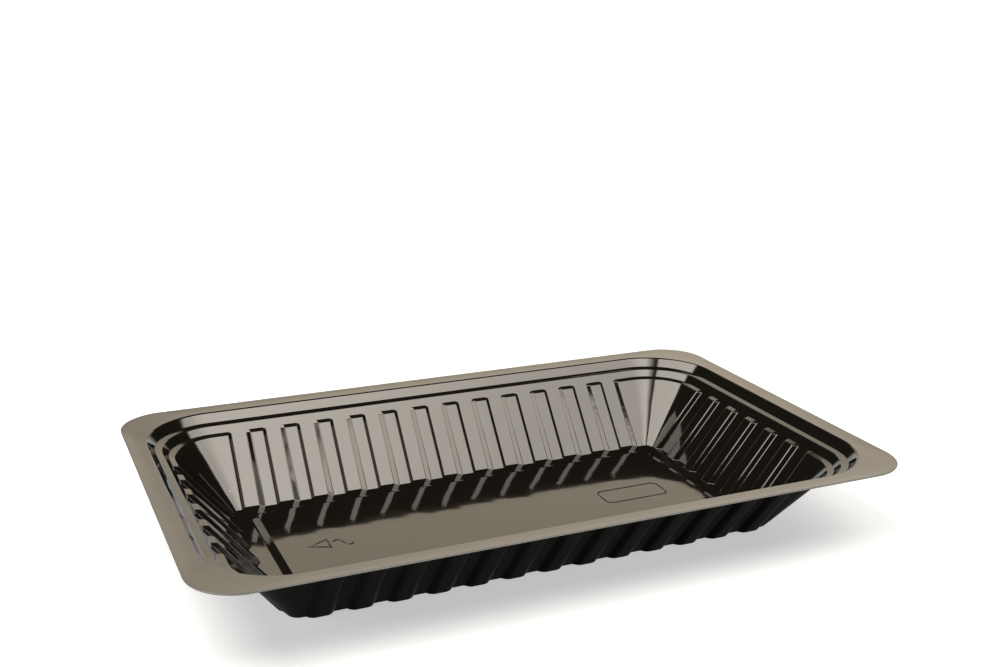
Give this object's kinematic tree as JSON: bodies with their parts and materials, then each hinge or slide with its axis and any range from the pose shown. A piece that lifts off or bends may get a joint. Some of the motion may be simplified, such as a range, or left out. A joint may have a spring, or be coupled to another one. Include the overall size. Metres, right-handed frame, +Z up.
{
  "type": "plastic tray",
  "caption": "Shallow rectangular thermoformed food tray with a wide flat flange, a lid step, ribbed sloping walls and a raised middle in its base.",
  "frame": {"origin": "centre of the base's underside, on the surface the tray stands on", "axes": "+X along the long side, +Y along the short side, +Z up out of the opening"},
  "size_m": [0.24, 0.1504, 0.0295],
  "materials": {
    "black_plastic": "gloss black, formed sheet"
  },
  "bodies": {
    "root": {"tray": "black_plastic"}
  },
  "joints": []
}
